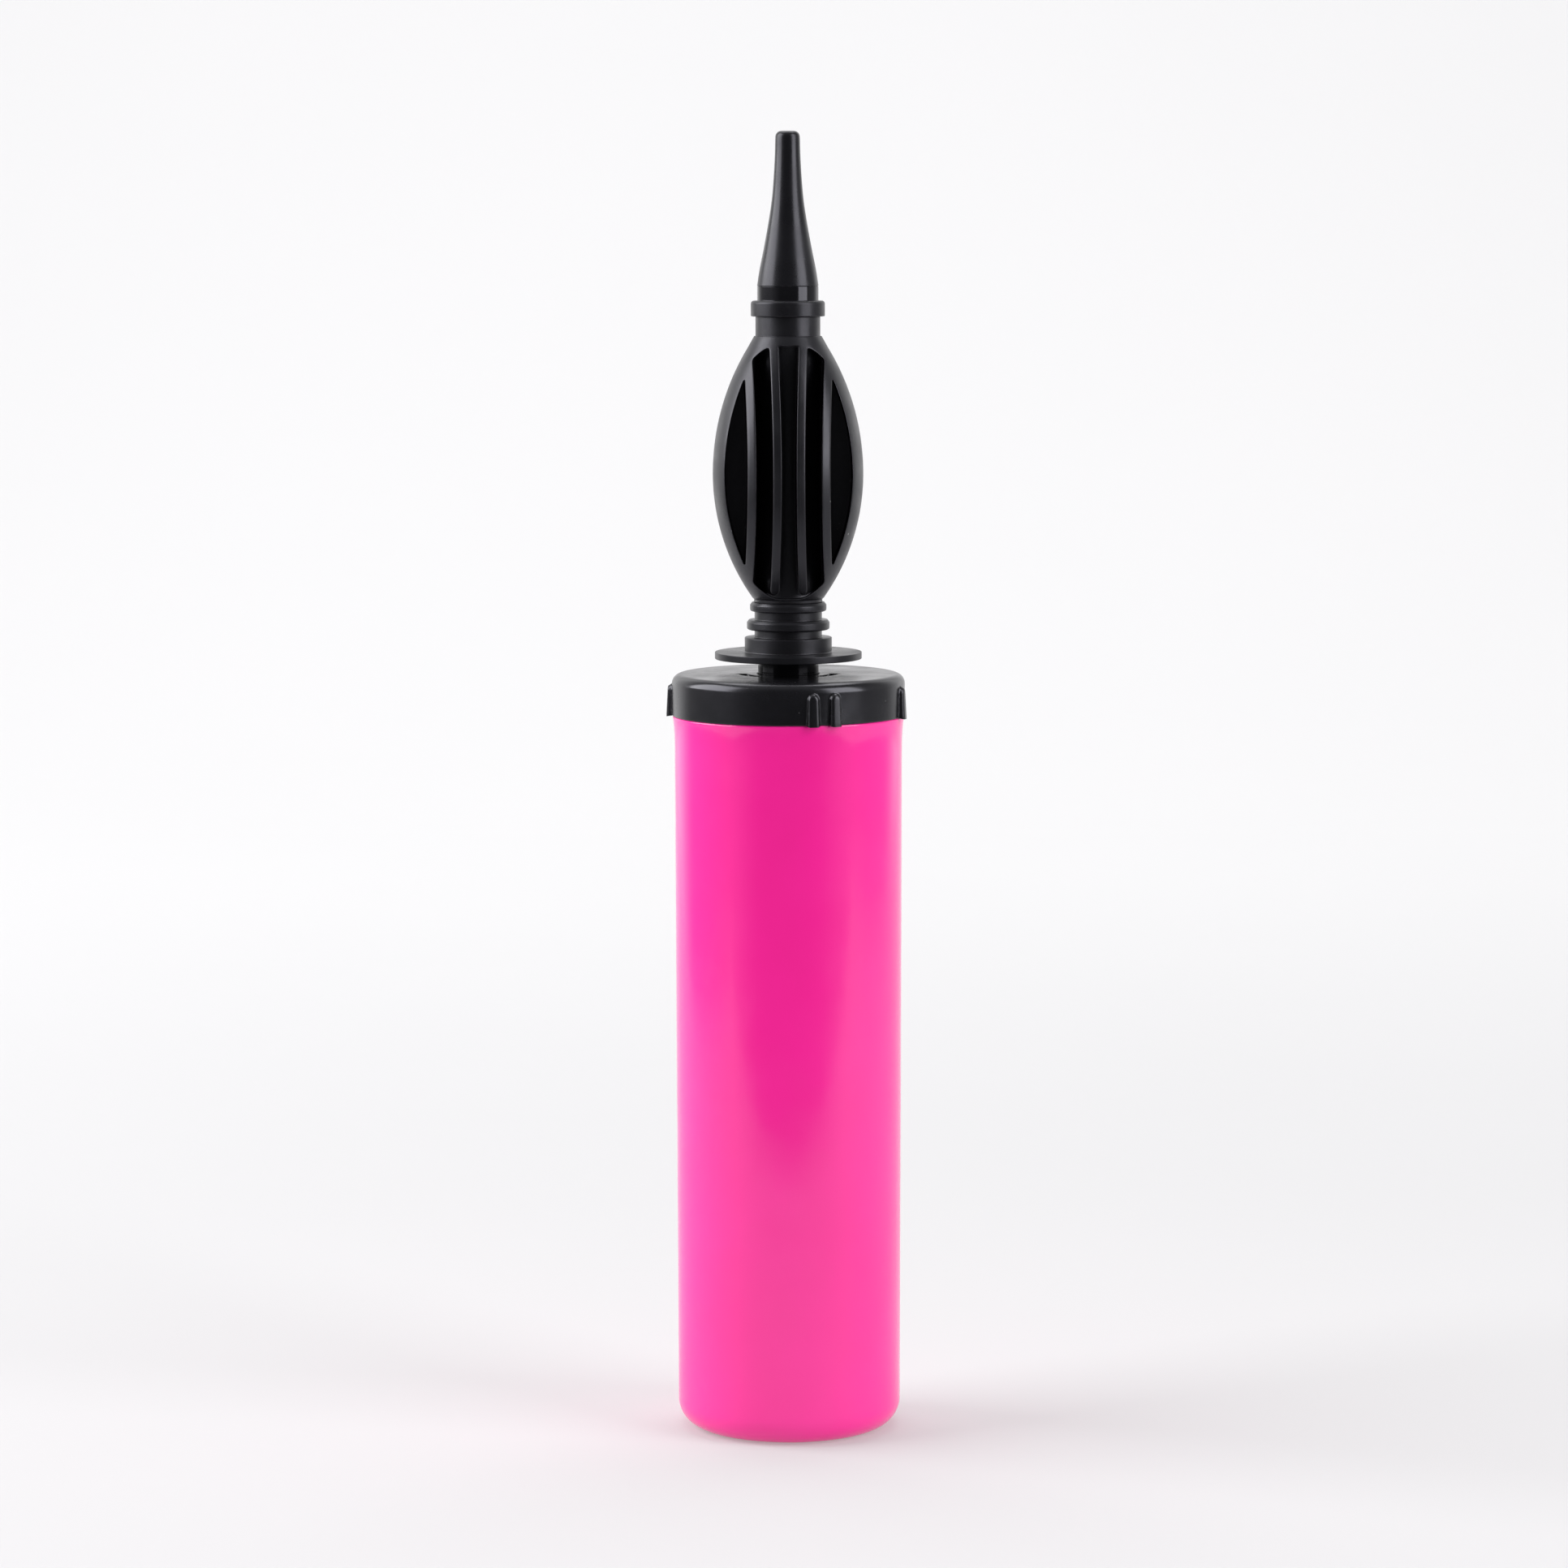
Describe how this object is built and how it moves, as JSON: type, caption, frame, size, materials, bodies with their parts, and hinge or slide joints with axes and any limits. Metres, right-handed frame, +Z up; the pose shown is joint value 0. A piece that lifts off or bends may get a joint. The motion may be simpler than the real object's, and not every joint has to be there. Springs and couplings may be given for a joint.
{
  "type": "ball inflation pump",
  "caption": "Hand-held double-action air pump: cylindrical barrel with screwed cap, hollow rod, ribbed lemon-shaped handle with guard disc, conical push-in nozzle.",
  "frame": {"origin": "centre of the foot, on the surface that the pump stands on", "axes": "+Z up along the pump's axis towards the nozzle, -Y towards the front, +X to the right seen from the front"},
  "size_m": [0.0536, 0.0531, 0.29],
  "materials": {
    "barrel_plastic": "glossy",
    "cap_plastic": "satin",
    "handle_plastic": "satin",
    "rod_plastic": "glossy",
    "nozzle_base_plastic": "semi-gloss",
    "nozzle_plastic": "satin",
    "seal_rubber": "matte",
    "inner_plastic": "satin"
  },
  "bodies": {
    "barrel": {"barrel": "barrel_plastic", "barrel_cap": "cap_plastic", "cap_gasket": "seal_rubber", "rod_bushing": "inner_plastic", "rod_seal": "seal_rubber", "gland_ring": "inner_plastic", "foot_flap_pin": "inner_plastic"},
    "foot_intake_valve": {"foot_intake_flap": "seal_rubber"},
    "cap_intake_valve": {"cap_intake_flap": "seal_rubber"},
    "sealing_ring": {"piston_seal": "seal_rubber"},
    "handle": {"piston_rod": "rod_plastic", "piston_crown": "inner_plastic", "piston_base": "inner_plastic", "upper_flap_retainer": "inner_plastic", "lower_flap_pin": "inner_plastic", "stroke_bumper": "seal_rubber", "handle_collar": "handle_plastic", "handle_grip": "handle_plastic", "handle_gasket": "seal_rubber", "neck_gasket": "seal_rubber", "nozzle_base": "nozzle_base_plastic"},
    "upper_delivery_valve": {"upper_delivery_flap": "seal_rubber"},
    "lower_delivery_valve": {"lower_delivery_flap": "seal_rubber"},
    "nozzle": {"nozzle_cone": "nozzle_plastic", "nozzle_o_ring": "seal_rubber"}
  },
  "joints": [
    {"name": "pump_stroke", "type": "slide", "parent": "barrel", "child": "sealing_ring", "axis": [0, 0, 1], "range_m": [0, 0.128]},
    {"name": "handle_spin", "type": "hinge", "parent": "sealing_ring", "child": "handle", "pos_m": [0, 0, 0.014], "axis": [0, 0, 1], "continuous": true},
    {"name": "nozzle_pull_off", "type": "slide", "parent": "handle", "child": "nozzle", "axis": [0, 0, 1], "range_m": [0, 0.02]},
    {"name": "foot_intake_lift", "type": "slide", "parent": "barrel", "child": "foot_intake_valve", "axis": [0, 0, 1], "range_m": [0, 0.0008], "stiffness_N_per_m": 20, "springref_m": -0.0004},
    {"name": "cap_intake_drop", "type": "slide", "parent": "barrel", "child": "cap_intake_valve", "axis": [0, 0, -1], "range_m": [0, 0.0008], "stiffness_N_per_m": 20, "springref_m": -0.0008},
    {"name": "upper_delivery_drop", "type": "slide", "parent": "handle", "child": "upper_delivery_valve", "axis": [0, 0, -1], "range_m": [0, 0.0008], "stiffness_N_per_m": 20, "springref_m": -0.0008},
    {"name": "lower_delivery_lift", "type": "slide", "parent": "handle", "child": "lower_delivery_valve", "axis": [0, 0, 1], "range_m": [0, 0.0008], "stiffness_N_per_m": 20, "springref_m": -0.0004}
  ]
}
